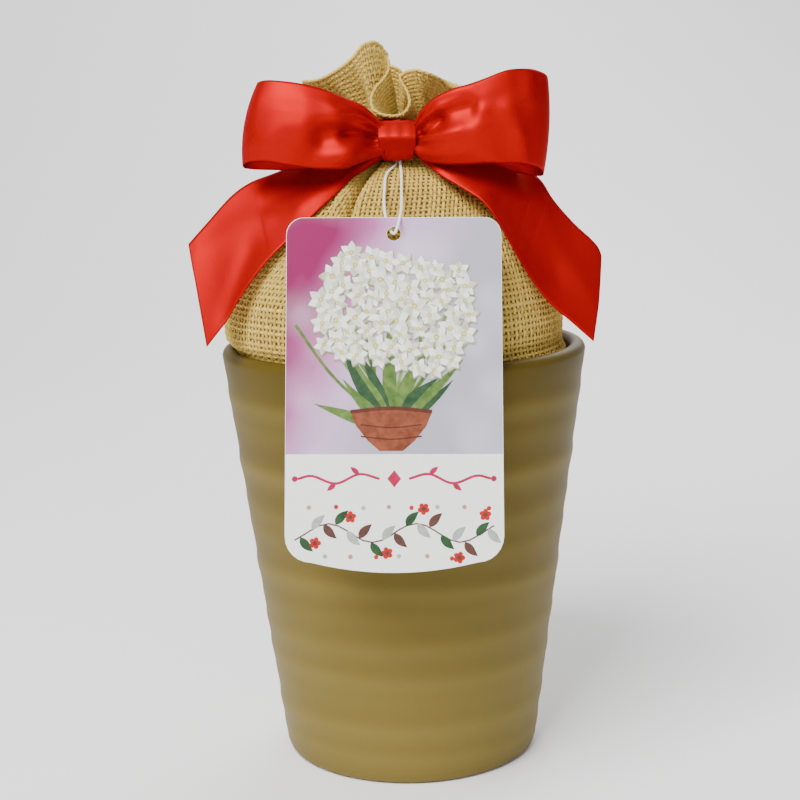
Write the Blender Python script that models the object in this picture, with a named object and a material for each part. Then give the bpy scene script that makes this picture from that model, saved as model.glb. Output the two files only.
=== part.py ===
"""A ribbed glazed pot that holds a burlap sack of bulbs, tied with a satin bow and a hang tag.

Units are metres. +Z is up, the pot stands on z = 0 with its axis on the origin, and -Y is the front.
"""

import math

import bmesh
import bpy
from mathutils import Matrix, Vector

MM = 0.001
GAP = 0.3 * MM
TURN = 2 * math.pi

# Pot
POT_HEIGHT = 161 * MM
POT_BASE_RADIUS = 49.4 * MM
POT_RIM_RADIUS = 70.2 * MM
POT_WALL = 6.2 * MM
POT_FLOOR = 7 * MM
POT_CORNER = 2.5 * MM
POT_SIDES = 48
RIB_COUNT = 11
RIB_DEPTH = 0.35 * MM
RIB_STEPS = 4

# Sack: it leans a little to the left above the rim
BAG_WALL = 1.6 * MM
BAG_CLEARANCE = 1.1 * MM
BAG_SIDES = 48
BAG_LEAN = -3.7 * MM
NECK_RADIUS = 15.2 * MM
NECK_BOTTOM = 232.5 * MM
NECK_TOP = 244.5 * MM
NECK_CHANNEL = 3 * MM
MOUTH_HEIGHT = 263 * MM
MOUTH_HALF_WIDTH = 29 * MM
MOUTH_HALF_DEPTH = 18 * MM
MOUTH_SHIFT = -5 * MM
SHOULDER = ((161.6, 62.6), (163.2, 64.2), (170, 64.3), (180, 63.2), (190, 60), (198, 55.5), (205, 50), (211, 44.5),
            (215, 40.5), (219, 36.5), (222, 32.5), (225, 28), (228, 22), (230, 18))

# Fill and bulbs
FILL_TOP = 148 * MM
BULB_RADIUS = 22 * MM
BULB_HEIGHT = 58 * MM
BULB_CIRCLE = 25.9 * MM
BULB_COUNT = 3
BULB_SIDES = 24
BULB_PROFILE = ((0.36, 0.0), (0.62, 0.05), (0.88, 0.15), (1.0, 0.33), (0.96, 0.47), (0.78, 0.62),
                (0.52, 0.75), (0.32, 0.86), (0.2, 0.95), (0.12, 1.0))

# Ribbon: 38 mm satin, gathered where it is tied
RIBBON_THICKNESS = 0.9 * MM
BAND_HEIGHT = 10 * MM
BAND_FRONT = 19 * MM
BAND_HALF_FLAT = 5 * MM
KNOT_WIDTH = 13.4 * MM
KNOT_FRONT = 30 * MM
KNOT_BACK = 21.2 * MM
KNOT_BOTTOM = 230.5 * MM
KNOT_TOP = 246 * MM
KNOT_WALL = 1 * MM

# Hang tag: the card leans on the pot's rim and on the sack
TAG_WIDTH = 74.7 * MM
TAG_LENGTH = 123 * MM
TAG_THICKNESS = 0.6 * MM
TAG_TOP_CORNER = 6 * MM
TAG_FOOT_CORNER = 9 * MM
TAG_FOOT_BOW = 3.5 * MM
TAG_HOLE_RADIUS = 2.5 * MM
TAG_HOLE_DROP = 5.8 * MM
TAG_LEAN = math.radians(17)
TAG_TWIST = math.radians(1.1)
TAG_TOP_HEIGHT = 212.2 * MM
TAG_SHIFT = -2.7 * MM
TAG_REST_RADIUS = 70.6 * MM
TAG_REST_HEIGHT = 157 * MM

# String of the tag: a closed loop round the neck band and through the hole, in millimetres
STRING_RADIUS = 0.6 * MM
STRING_STEP = 2.4 * MM
STRING_ROUTE = ((0.2, -18.6, 245.6), (0.8, -20.3, 243.9), (1, -20.3, 238), (1.1, -20.3, 232.6),
                (1.2, -21.6, 229.6), (1.2, -26, 228.2), (0.9, -34, 224.8), (0.4, -44, 219.5),
                (-0.2, -54, 213.8), (-1.2, -58.3, 210), (-2.3, -57.6, 207.5), (-3.2, -55.4, 207),
                (-4.2, -52.9, 208.5), (-5.4, -50.4, 213.2), (-6.2, -43, 219.8), (-5.6, -35.5, 224.4),
                (-3.6, -29, 227.6), (-1.8, -24, 229), (-1, -20, 229.9), (-0.7, -17.4, 232.2),
                (-0.5, -16.9, 238), (-0.2, -16.9, 244.1))

# Edges of the ribbon's four free stretches, from the knot outwards, in millimetres
LOOP_LEFT = {
    "upper": ((-0.5, -27.7, 243.9), (-7, -27.7, 244.2), (-14, -32, 250), (-22, -35.5, 254), (-35, -37, 257.5),
              (-49, -33, 259.5), (-55, -26, 259), (-50, -20, 256.5), (-36, -21, 252.5), (-20, -24, 248),
              (-7, -24.4, 243.9), (-0.5, -24.4, 243.6)),
    "lower": ((-0.5, -27.7, 233), (-7, -27.7, 232.7), (-14, -31, 229.4), (-22, -36, 228.2), (-35, -38, 228.5),
              (-49, -36, 229.5), (-57, -28, 231.5), (-54, -20, 232.5), (-38, -21, 233.5), (-20, -24, 234.5),
              (-7, -24.4, 235), (-0.5, -24.4, 234.8)),
}
LOOP_RIGHT = {
    "upper": ((0.5, -27.7, 243.9), (7, -27.7, 244.2), (12, -31, 250), (18, -34, 256), (31, -36, 260),
              (43, -32, 262), (51, -26, 260.5), (48, -20, 258), (34, -21, 254), (19, -24, 249),
              (7, -24.4, 243.9), (0.5, -24.4, 243.6)),
    "lower": ((0.5, -27.7, 233), (7, -27.7, 232.7), (13, -31, 229.4), (22, -36, 228.4), (34, -38, 228),
              (45, -36, 227.6), (53.5, -28, 228.5), (50, -20, 230), (36, -21, 233), (19, -24, 234.5),
              (7, -24.4, 235), (0.5, -24.4, 234.8)),
}
TAIL_LEFT = {
    "upper": ((-0.7, -23, 236.6), (-7, -23, 236.2), (-13, -20.8, 236.2), (-20, -17.5, 235), (-32, -15, 232),
              (-46.2, -15, 226.9), (-55.5, -17, 223.6), (-62.7, -19, 218.7), (-71.1, -21.5, 209.8),
              (-78.4, -23.5, 201.9)),
    "lower": ((-0.7, -23, 232.6), (-7, -23.4, 232.2), (-14.8, -27, 226.7), (-22.9, -33, 219.6),
              (-30.9, -38, 213.1), (-41.1, -42, 203.7), (-49.2, -43, 195.9), (-58.7, -43, 184.1),
              (-65.2, -43, 174.1), (-71, -43, 166.6)),
}
TAIL_RIGHT = {
    "upper": ((0.7, -23, 236.6), (7, -23, 236.2), (13, -20.8, 236.2), (20, -17.5, 235), (32, -15, 232),
              (44, -15, 227.5), (51.3, -17, 222.8), (56.2, -19, 215.1), (63.2, -21, 206.8),
              (73.4, -24, 194.5)),
    "lower": ((0.7, -23, 232.6), (7, -23.4, 232.2), (10.5, -27, 228.4), (14.6, -31.5, 224.6),
              (21.4, -37, 220.5), (30.1, -41, 214.6), (36.5, -43, 205.5), (43.8, -43, 191.9),
              (55, -43, 177.4), (68.4, -42, 165.4)),
}
LOOP_COLUMNS = 34
TAIL_COLUMNS = 22
STRIP_ROWS = 3


def material(name, color, roughness, metallic=0.0):
    """Make one Principled material."""
    surface = bpy.data.materials.new(name)
    surface.use_nodes = True
    shader = surface.node_tree.nodes["Principled BSDF"]
    shader.inputs["Base Color"].default_value = (*color, 1)
    shader.inputs["Roughness"].default_value = roughness
    shader.inputs["Metallic"].default_value = metallic
    return surface


def add_object(name, data, surface):
    """Link one named object that carries one material."""
    data.materials.append(surface)
    item = bpy.data.objects.new(name, data)
    bpy.context.scene.collection.objects.link(item)
    return item


def mesh_from(name, vertices, faces):
    """Make a smooth-shaded mesh whose faces point out."""
    mesh = bpy.data.meshes.new(name)
    mesh.from_pydata(vertices, [], faces)
    shell = bmesh.new()
    shell.from_mesh(mesh)
    bmesh.ops.recalc_face_normals(shell, faces=shell.faces)
    shell.to_mesh(mesh)
    shell.free()
    mesh.shade_smooth()
    mesh.set_sharp_from_angle(angle=math.radians(40))
    return mesh


def loft(name, rings):
    """Skin a closed surface over rings of points, with a fan at its first and last ring."""
    sides = len(rings[0])
    vertices = [point for ring in rings for point in ring]
    faces = []
    for level in range(len(rings) - 1):
        for side in range(sides):
            near = level * sides + side
            far = level * sides + (side + 1) % sides
            faces.append((near, far, far + sides, near + sides))
    for ring, first in ((rings[0], 0), (rings[-1], (len(rings) - 1) * sides)):
        centre = sum((Vector(point) for point in ring), Vector()) / sides
        vertices.append(centre)
        for side in range(sides):
            faces.append((len(vertices) - 1, first + side, first + (side + 1) % sides))
    return mesh_from(name, vertices, faces)


def circle(radius, height, sides, centre=(0, 0)):
    """One level ring of a turned shape."""
    ring = []
    for side in range(sides):
        angle = TURN * side / sides
        ring.append((centre[0] + radius * math.cos(angle), centre[1] + radius * math.sin(angle), height))
    return ring


def interpolate(pairs, height):
    """Read a radius off a list of (height, radius) pairs, both in metres."""
    for (low, low_radius), (high, high_radius) in zip(pairs, pairs[1:]):
        if height <= high:
            share = (height - low) / (high - low)
            return low_radius + share * (high_radius - low_radius)
    return pairs[-1][1]


def smooth_path(points, steps):
    """Read points off a Catmull-Rom curve through a row of points, evenly in its parameter."""
    points = [Vector(point) for point in points]
    padded = [2 * points[0] - points[1], *points, 2 * points[-1] - points[-2]]
    result = []
    for step in range(steps + 1):
        place = step / steps * (len(points) - 1)
        span = min(int(place), len(points) - 2)
        result.append(catmull_rom(padded[span:span + 4], place - span))
    return result


def catmull_rom(four, share):
    """One point between the second and the third of four points."""
    before, start, end, after = four
    slope_in = (end - before) / 2
    slope_out = (after - start) / 2
    square = share * share
    cube = square * share
    return ((2 * cube - 3 * square + 1) * start + (cube - 2 * square + share) * slope_in
            + (3 * square - 2 * cube) * end + (cube - square) * slope_out)


def pot_radius(height):
    """Outer radius of the pot's taper, without its ribs."""
    return POT_BASE_RADIUS + (POT_RIM_RADIUS - POT_BASE_RADIUS) * height / POT_HEIGHT


def pot_inner_radius(height):
    """Inner radius of the pot's wall."""
    return pot_radius(height) - POT_WALL


def pot_profile():
    """Radius and height from the middle of the base up the outside and down the inside."""
    profile = [(POT_BASE_RADIUS - POT_CORNER, 0)]
    for step in range(1, 4):
        angle = math.radians(30 * step)
        height = POT_CORNER * (1 - math.cos(angle))
        profile.append((POT_BASE_RADIUS - POT_CORNER + POT_CORNER * math.sin(angle), height))
    lip = POT_WALL / 2
    ribbed = POT_HEIGHT - lip - POT_CORNER
    rows = RIB_COUNT * RIB_STEPS
    for row in range(1, rows):
        height = POT_CORNER + ribbed * row / rows
        rib = RIB_DEPTH * math.cos(TURN * row / RIB_STEPS)
        profile.append((pot_radius(height) + rib, height))
    lip_height = POT_HEIGHT - lip
    lip_radius = pot_radius(lip_height) - lip
    for step in range(9):
        angle = math.pi * step / 8
        profile.append((lip_radius + lip * math.cos(angle), lip_height + lip * math.sin(angle)))
    for share in (0.8, 0.6, 0.4, 0.2):
        height = POT_FLOOR + (lip_height - POT_FLOOR) * share
        profile.append((pot_inner_radius(height), height))
    corner = POT_CORNER + POT_FLOOR
    profile.append((pot_inner_radius(corner), corner))
    profile.append((pot_inner_radius(corner) - POT_CORNER * 0.3, POT_FLOOR + POT_CORNER * 0.3))
    profile.append((pot_inner_radius(corner) - POT_CORNER, POT_FLOOR))
    return profile


def make_pot(surface):
    """Turn the pot as one closed shell with an open top."""
    rings = [circle(radius, height, POT_SIDES) for radius, height in pot_profile()]
    add_object("pot", loft("pot", rings), surface)


def bag_radius(height):
    """Outer radius of the sack from the pot's floor to its neck."""
    floor = POT_FLOOR + GAP
    inside = [(floor, 36 * MM), (floor + 2 * MM, 41 * MM)]
    for level in (14 * MM, 60 * MM, 110 * MM, 156 * MM):
        inside.append((level, pot_inner_radius(level) - BAG_CLEARANCE))
    above = [(level * MM, radius * MM) for level, radius in SHOULDER]
    return interpolate([*inside, *above, (NECK_BOTTOM, NECK_RADIUS), (NECK_TOP, NECK_RADIUS)], height)


def bag_lean(height):
    """How far the sack's middle lies to the side at a height."""
    above = (161.6 * MM, BAG_LEAN * 0.1), (163.2 * MM, BAG_LEAN), (205 * MM, BAG_LEAN), (NECK_BOTTOM, 0), (1, 0)
    return interpolate([(0, 0), (156 * MM, 0), *above], height)


def bag_ring(height, inset=0.0):
    """One level ring of the sack's body."""
    return circle(bag_radius(height) - inset, height, BAG_SIDES, (bag_lean(height), 0))


def mouth_ring(share, inset):
    """One ring of the ruffle, from the neck at share 0 to the wavy open edge at share 1."""
    ring = []
    for side in range(BAG_SIDES):
        angle = TURN * side / BAG_SIDES
        wave = 9 * MM * math.sin(angle) + 2.5 * MM * math.cos(3 * angle)
        top = MOUTH_HEIGHT + wave
        spread = share ** 0.7
        half_width = NECK_RADIUS + (MOUTH_HALF_WIDTH - NECK_RADIUS) * spread - inset
        half_depth = NECK_RADIUS + (MOUTH_HALF_DEPTH - NECK_RADIUS) * spread - inset
        ring.append((MOUTH_SHIFT * spread + half_width * math.cos(angle), half_depth * math.sin(angle),
                     NECK_TOP + (top - NECK_TOP) * share))
    return ring


def make_bag(surface):
    """Loft the sack's outside up to its mouth and its inside down through the neck."""
    floor = POT_FLOOR + GAP
    levels = [floor, floor + 2 * MM, 14 * MM, 60 * MM, 110 * MM, 150 * MM, 156 * MM]
    levels += [level * MM for level, radius in SHOULDER] + [NECK_BOTTOM, NECK_TOP]
    rings = [bag_ring(level) for level in levels]
    rings += [mouth_ring(share, 0) for share in (0.3, 0.65, 1)]
    rings += [mouth_ring(share, BAG_WALL) for share in (1, 0.65, 0.3)]
    rings.append(circle(NECK_CHANNEL, NECK_TOP, BAG_SIDES))
    rings.append(circle(NECK_CHANNEL, NECK_BOTTOM - 4 * MM, BAG_SIDES))
    inner = [level for level in levels if floor + BAG_WALL < level < 226 * MM]
    rings += [bag_ring(level, BAG_WALL) for level in reversed(inner)]
    rings.append(circle(38 * MM, floor + BAG_WALL, BAG_SIDES))
    add_object("burlap_bag", loft("burlap_bag", rings), surface)


def make_fill(surface):
    """Loft the growing medium that stands in the sack, with a level top."""
    inset = BAG_WALL + GAP
    bottom = POT_FLOOR + GAP + BAG_WALL + GAP
    rings = [circle(36 * MM, bottom, BAG_SIDES)]
    for level in (14 * MM, 60 * MM, 110 * MM, 140 * MM, FILL_TOP - 2 * MM):
        rings.append(bag_ring(level, inset))
    rings.append(bag_ring(FILL_TOP, inset + 3 * MM))
    add_object("growing_medium", loft("growing_medium", rings), surface)


def make_bulbs(surface):
    """Stand the bulbs on the fill in a ring under the neck."""
    for number in range(BULB_COUNT):
        angle = math.radians(90) + TURN * number / BULB_COUNT
        rings = [circle(BULB_RADIUS * radius, BULB_HEIGHT * height, BULB_SIDES) for radius, height in BULB_PROFILE]
        name = f"bulb_{number + 1}"
        bulb = add_object(name, loft(name, rings), surface)
        bulb.location = (BAG_LEAN / 2 + BULB_CIRCLE * math.cos(angle), BULB_CIRCLE * math.sin(angle),
                         FILL_TOP + GAP)


def solid_grid(name, grid, thickness, closed=False):
    """Give a grid of points a thickness, half to each side, as one closed body."""
    columns = len(grid)
    rows = len(grid[0])
    front = []
    back = []
    for i in range(columns):
        for j in range(rows):
            before = grid[i - 1] if closed or i > 0 else grid[i]
            after = grid[(i + 1) % columns] if closed or i < columns - 1 else grid[i]
            along = after[j] - before[j]
            across = grid[i][min(j + 1, rows - 1)] - grid[i][max(j - 1, 0)]
            normal = along.cross(across).normalized() * thickness / 2
            front.append(grid[i][j] + normal)
            back.append(grid[i][j] - normal)
    offset = len(front)
    faces = []
    for i in range(columns if closed else columns - 1):
        here = i * rows
        there = (i + 1) % columns * rows
        for j in range(rows - 1):
            faces.append((here + j, here + j + 1, there + j + 1, there + j))
            faces.append((offset + here + j, offset + there + j, offset + there + j + 1, offset + here + j + 1))
        for j in (0, rows - 1):
            faces.append((here + j, there + j, offset + there + j, offset + here + j))
    if not closed:
        for here in (0, (columns - 1) * rows):
            for j in range(rows - 1):
                faces.append((here + j, here + j + 1, offset + here + j + 1, offset + here + j))
    return mesh_from(name, front + back, faces)


def make_strip(name, edges, columns, surface):
    """Stretch a ribbon between its upper and its lower edge."""
    upper = smooth_path([Vector(point) * MM for point in edges["upper"]], columns)
    lower = smooth_path([Vector(point) * MM for point in edges["lower"]], columns)
    grid = []
    for top, bottom in zip(upper, lower):
        grid.append([top.lerp(bottom, row / STRIP_ROWS) for row in range(STRIP_ROWS + 1)])
    add_object(name, solid_grid(name, grid, RIBBON_THICKNESS), surface)


def make_neck_band(surface):
    """Lay the ribbon round the neck, drawn forward to the knot at the front."""
    radius = NECK_RADIUS + GAP + RIBBON_THICKNESS / 2
    path = [Vector((-BAND_HALF_FLAT, -BAND_FRONT, 0)), Vector((0, -BAND_FRONT, 0)),
            Vector((BAND_HALF_FLAT, -BAND_FRONT, 0))]
    steps = 26
    first = math.radians(-38)
    sweep = math.radians(180) - 2 * first
    for step in range(steps + 1):
        angle = first + sweep * step / steps
        path.append(Vector((radius * math.cos(angle), radius * math.sin(angle), 0)))
    middle = (NECK_BOTTOM + NECK_TOP) / 2
    half = Vector((0, 0, BAND_HEIGHT / 2))
    rise = Vector((0, 0, middle))
    grid = [[point + rise - half, point + rise + half] for point in path]
    add_object("neck_band", solid_grid("neck_band", grid, RIBBON_THICKNESS, closed=True), surface)


def make_knot(surface):
    """Wrap the middle of the bow: a flat rounded sleeve, open to the left and to the right."""
    half_depth = (KNOT_FRONT - KNOT_BACK - KNOT_WALL) / 2
    half_height = (KNOT_TOP - KNOT_BOTTOM - KNOT_WALL) / 2
    centre = Vector((0, -(KNOT_FRONT + KNOT_BACK) / 2, (KNOT_TOP + KNOT_BOTTOM) / 2))
    corner = 2 * MM
    grid = []
    for quadrant in range(4):
        side_y = (1, -1, -1, 1)[quadrant]
        side_z = (1, 1, -1, -1)[quadrant]
        for step in range(5):
            angle = math.radians(90 * quadrant + 22.5 * step)
            y = side_y * (half_depth - corner) + corner * math.cos(angle)
            z = side_z * (half_height - corner) + corner * math.sin(angle)
            across = Vector((KNOT_WIDTH / 2, 0, 0))
            middle = centre + Vector((0, y, z))
            grid.append([middle - across, middle, middle + across])
    add_object("bow_knot", solid_grid("bow_knot", grid, KNOT_WALL, closed=True), surface)


def tag_outline():
    """Points round the card, seen from the front: x to the right and y up from its top edge."""
    half = TAG_WIDTH / 2
    foot = TAG_LENGTH - TAG_FOOT_BOW
    corners = ((half - TAG_TOP_CORNER, -TAG_TOP_CORNER, TAG_TOP_CORNER, 0),
               (-half + TAG_TOP_CORNER, -TAG_TOP_CORNER, TAG_TOP_CORNER, 90),
               (-half + TAG_FOOT_CORNER, -foot + TAG_FOOT_CORNER, TAG_FOOT_CORNER, 180))
    outline = []
    for x, y, radius, start in corners:
        for step in range(7):
            angle = math.radians(start + 15 * step)
            outline.append((x + radius * math.cos(angle), y + radius * math.sin(angle)))
    inner = half - TAG_FOOT_CORNER
    for step in range(1, 12):
        share = step / 6 - 1
        outline.append((inner * share, -foot - TAG_FOOT_BOW * (1 - share * share)))
    for step in range(7):
        angle = math.radians(270 + 15 * step)
        outline.append((inner + TAG_FOOT_CORNER * math.cos(angle),
                        -foot + TAG_FOOT_CORNER + TAG_FOOT_CORNER * math.sin(angle)))
    return outline


def tag_frame():
    """Place of the card: its front faces -Y, and its back rests on the rim's front edge."""
    back = -TAG_REST_RADIUS + (TAG_TOP_HEIGHT - TAG_REST_HEIGHT) * math.tan(TAG_LEAN)
    place = Matrix.Translation((TAG_SHIFT, back, TAG_TOP_HEIGHT))
    return place @ Matrix.Rotation(-TAG_LEAN, 4, "X") @ Matrix.Rotation(TAG_TWIST, 4, "Y")


def make_tag(surface):
    """Cut the card from its outline and punch its hole."""
    outline = tag_outline()
    count = len(outline)
    vertices = [(x, depth, y) for depth in (-TAG_THICKNESS, 0) for x, y in outline]
    faces = [tuple(range(count)), tuple(range(2 * count - 1, count - 1, -1))]
    for corner in range(count):
        after = (corner + 1) % count
        faces.append((corner, corner + count, after + count, after))
    card = add_object("hang_tag", mesh_from("hang_tag", vertices, faces), surface)
    card.matrix_world = tag_frame()
    rings = [circle(TAG_HOLE_RADIUS, height, 24) for height in (-5 * MM, 5 * MM)]
    cutter = bpy.data.objects.new("tag_hole_cutter", loft("tag_hole_cutter", rings))
    bpy.context.scene.collection.objects.link(cutter)
    cutter.matrix_world = tag_frame() @ Matrix.Translation((0, 0, -TAG_HOLE_DROP)) @ Matrix.Rotation(
        math.radians(90), 4, "X")
    cutter.hide_render = True
    cutter.display_type = "WIRE"
    punch = card.modifiers.new("punch", "BOOLEAN")
    punch.operation = "DIFFERENCE"
    punch.solver = "EXACT"
    punch.object = cutter


def string_points():
    """Points along the closed string loop, at nearly even steps."""
    route = [Vector(point) * MM for point in STRING_ROUTE]
    count = len(route)
    dense = []
    for span in range(count):
        four = [route[(span + shift) % count] for shift in (-1, 0, 1, 2)]
        dense += [catmull_rom(four, step / 20) for step in range(20)]
    lengths = [0.0]
    for here, there in zip(dense, dense[1:] + dense[:1]):
        lengths.append(lengths[-1] + (there - here).length)
    pieces = round(lengths[-1] / STRING_STEP)
    points = []
    span = 0
    for piece in range(pieces):
        target = lengths[-1] * piece / pieces
        while lengths[span + 1] < target:
            span += 1
        share = (target - lengths[span]) / (lengths[span + 1] - lengths[span])
        points.append(dense[span].lerp(dense[(span + 1) % len(dense)], share))
    return points


def make_string(surface):
    """Sweep the thin string along its loop."""
    curve = bpy.data.curves.new("tag_string", "CURVE")
    curve.dimensions = "3D"
    curve.bevel_depth = STRING_RADIUS
    curve.bevel_resolution = 2
    points = string_points()
    spline = curve.splines.new("POLY")
    spline.points.add(len(points) - 1)
    for knot, point in zip(spline.points, points):
        knot.co = (*point, 1)
    spline.use_cyclic_u = True
    add_object("tag_string", curve, surface)


def main():
    """Clear the scene and make every piece."""
    for item in list(bpy.data.objects):
        bpy.data.objects.remove(item)
    glaze = material("glaze", (0.23, 0.15, 0.035), 0.35)
    burlap = material("burlap", (0.47, 0.32, 0.14), 0.95)
    peat = material("peat", (0.05, 0.03, 0.02), 1)
    bulb_skin = material("bulb_skin", (0.3, 0.15, 0.06), 0.6)
    satin = material("satin", (0.62, 0.03, 0.015), 0.35)
    card = material("card", (0.85, 0.84, 0.82), 0.4)
    string = material("string", (0.85, 0.84, 0.82), 0.8)
    make_pot(glaze)
    make_bag(burlap)
    make_fill(peat)
    make_bulbs(bulb_skin)
    make_neck_band(satin)
    make_strip("bow_loop_left", LOOP_LEFT, LOOP_COLUMNS, satin)
    make_strip("bow_loop_right", LOOP_RIGHT, LOOP_COLUMNS, satin)
    make_strip("bow_tail_left", TAIL_LEFT, TAIL_COLUMNS, satin)
    make_strip("bow_tail_right", TAIL_RIGHT, TAIL_COLUMNS, satin)
    make_knot(satin)
    make_tag(card)
    make_string(string)


main()
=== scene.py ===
"""Looks of the potted gift sack: glazed pot, woven burlap, satin bow and hang tag, in studio light.

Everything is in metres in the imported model's frame: +Z up, the pot's axis on the origin, -Y the front.
"""

import math

import bmesh
import bpy
import numpy as np
from mathutils import Matrix, Vector
from mathutils.geometry import tessellate_polygon


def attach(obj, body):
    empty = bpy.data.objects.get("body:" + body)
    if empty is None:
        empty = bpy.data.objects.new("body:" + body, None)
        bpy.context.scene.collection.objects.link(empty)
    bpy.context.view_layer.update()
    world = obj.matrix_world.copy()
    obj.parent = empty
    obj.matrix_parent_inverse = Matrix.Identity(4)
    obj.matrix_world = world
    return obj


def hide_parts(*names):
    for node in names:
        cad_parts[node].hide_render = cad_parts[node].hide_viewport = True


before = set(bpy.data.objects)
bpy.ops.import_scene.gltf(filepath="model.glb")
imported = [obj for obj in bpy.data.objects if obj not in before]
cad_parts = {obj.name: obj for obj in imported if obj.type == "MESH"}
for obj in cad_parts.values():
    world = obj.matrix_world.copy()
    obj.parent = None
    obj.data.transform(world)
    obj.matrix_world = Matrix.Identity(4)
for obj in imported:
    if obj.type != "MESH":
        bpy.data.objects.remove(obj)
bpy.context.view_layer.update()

MM = 0.001
TURN = 2 * math.pi
SEED = 7

# Camera, worked out from the rim and base ellipses of the photograph
CAMERA_PLACE = Vector((-1.9, -617, 252)) * MM
CAMERA_PITCH = math.radians(10.5)
CAMERA_ROLL = math.radians(1.25)
CAMERA_LENS = 72.5

# Pot
POT_HEIGHT = 161 * MM
POT_BASE_RADIUS = 49.4 * MM
POT_RIM_RADIUS = 70.2 * MM
POT_WALL = 6.2 * MM
POT_FLOOR = 7 * MM
POT_CORNER = 2.5 * MM
POT_SIDES = 192
RIB_DEPTH = 0.5 * MM
RIB_HEIGHTS = (10, 21, 32, 41.5, 55.5, 66, 76, 92, 102, 117, 132.5, 143.5)

# Sack, as the CAD solid has it
THREAD_PITCH = 2.1 * MM
SACK_WARPS = 192
SACK_LEAN = -3.7 * MM
SHOULDER = ((62.2, 148), (62.4, 157), (62.7, 161.6), (64.2, 165), (64.4, 172), (63.2, 181), (60, 190),
            (55.5, 198), (50, 205), (44.5, 211), (40.5, 215), (36.5, 219), (32.5, 222), (28, 225),
            (22.5, 228), (17.8, 230.5), (14.6, 234), (13.9, 238.5), (14.3, 244.5))
# Open edge of the sack from the lowest point of its front, to the right and round, in millimetres
HEM = ((-2.2, -23.5, 246.9), (1.8, -22.5, 247.9), (3.9, -19.5, 251.3), (3.3, -16, 255.2), (1.6, -13, 258.4),
       (0.7, -10.5, 260.8), (2.2, -10, 262.2), (4.8, -13, 263.0), (7.5, -15.5, 263.0), (11.4, -15, 261.6),
       (16.0, -10, 259.4), (19.3, -3, 256.8), (27, 5, 256), (21, 12, 258), (13, 9, 261), (8, 13, 261),
       (3.4, 9, 260.6), (0.1, 7, 264.0), (-3.7, 9, 265.2), (-10, 15, 263), (-17, 9, 264), (-26, 12, 259),
       (-34, 7, 257), (-35.6, 0, 260.0), (-32.0, -6, 260.1), (-27.4, -10, 261.2), (-21.8, -14, 264.1),
       (-17.2, -16, 267.4), (-14.5, -15.5, 270.4), (-12.3, -13.5, 272.6), (-8.7, -10, 273.7),
       (-5.7, -6.5, 271.8), (-3.9, -5.5, 268.6), (-3.3, -7.5, 265.6), (-3.9, -10, 262.7), (-5.9, -13, 259.9),
       (-8.6, -17, 256.8), (-10.0, -20, 253.4), (-9.6, -22.5, 249.9), (-7.0, -23.5, 247.7))


def curve_points(points, count, closed=False):
    """Read evenly spaced points off a Catmull-Rom curve through a row of points."""
    points = np.asarray(points, float)
    if closed:
        padded = np.vstack([points[-1:], points, points[:2]])
    else:
        padded = np.vstack([2 * points[0] - points[1], points, 2 * points[-1] - points[-2]])
    share = np.linspace(0, 1, 24, endpoint=False)[:, None]
    dense = []
    for span in range(len(padded) - 3):
        before, start, end, after = padded[span:span + 4]
        dense.append(start + share * (end - before) / 2
                     + share ** 2 * (before - 2.5 * start + 2 * end - after / 2)
                     + share ** 3 * (1.5 * (start - end) + (after - before) / 2))
    dense = np.vstack([*dense, padded[-2:-1]])
    steps = np.linalg.norm(np.diff(dense, axis=0), axis=1)
    lengths = np.concatenate([[0], np.cumsum(steps)])
    wanted = np.linspace(0, lengths[-1], count, endpoint=not closed)
    return np.stack([np.interp(wanted, lengths, dense[:, axis]) for axis in range(points.shape[1])], axis=1)


def path_length(points):
    """Length of a row of points."""
    return float(np.linalg.norm(np.diff(np.asarray(points), axis=0), axis=1).sum())


def smooth_step(low, high, value):
    """Rise softly from 0 at low to 1 at high."""
    share = np.clip((value - low) / (high - low), 0, 1)
    return share * share * (3 - 2 * share)


class Wire:
    """A socket of a node tree on which sums, products and powers add Math nodes."""

    def __init__(self, tree, socket):
        self.tree = tree
        self.socket = socket

    def math(self, operation, *values):
        node = self.tree.nodes.new("ShaderNodeMath")
        node.operation = operation
        for entry, value in zip(node.inputs, values):
            plug(self.tree, entry, value)
        return Wire(self.tree, node.outputs[0])

    def __add__(self, other):
        return self.math("ADD", self, other)

    def __radd__(self, other):
        return self.math("ADD", other, self)

    def __sub__(self, other):
        return self.math("SUBTRACT", self, other)

    def __rsub__(self, other):
        return self.math("SUBTRACT", other, self)

    def __mul__(self, other):
        return self.math("MULTIPLY", self, other)

    def __rmul__(self, other):
        return self.math("MULTIPLY", other, self)

    def __pow__(self, other):
        return self.math("POWER", self, other)


def plug(tree, entry, value):
    """Link a wire to a node's entry, or set the entry to a plain value."""
    if isinstance(value, Wire):
        tree.links.new(value.socket, entry)
    elif isinstance(value, tuple) and len(value) == 3 and entry.type == "RGBA":
        entry.default_value = (*value, 1)
    else:
        entry.default_value = value


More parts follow.
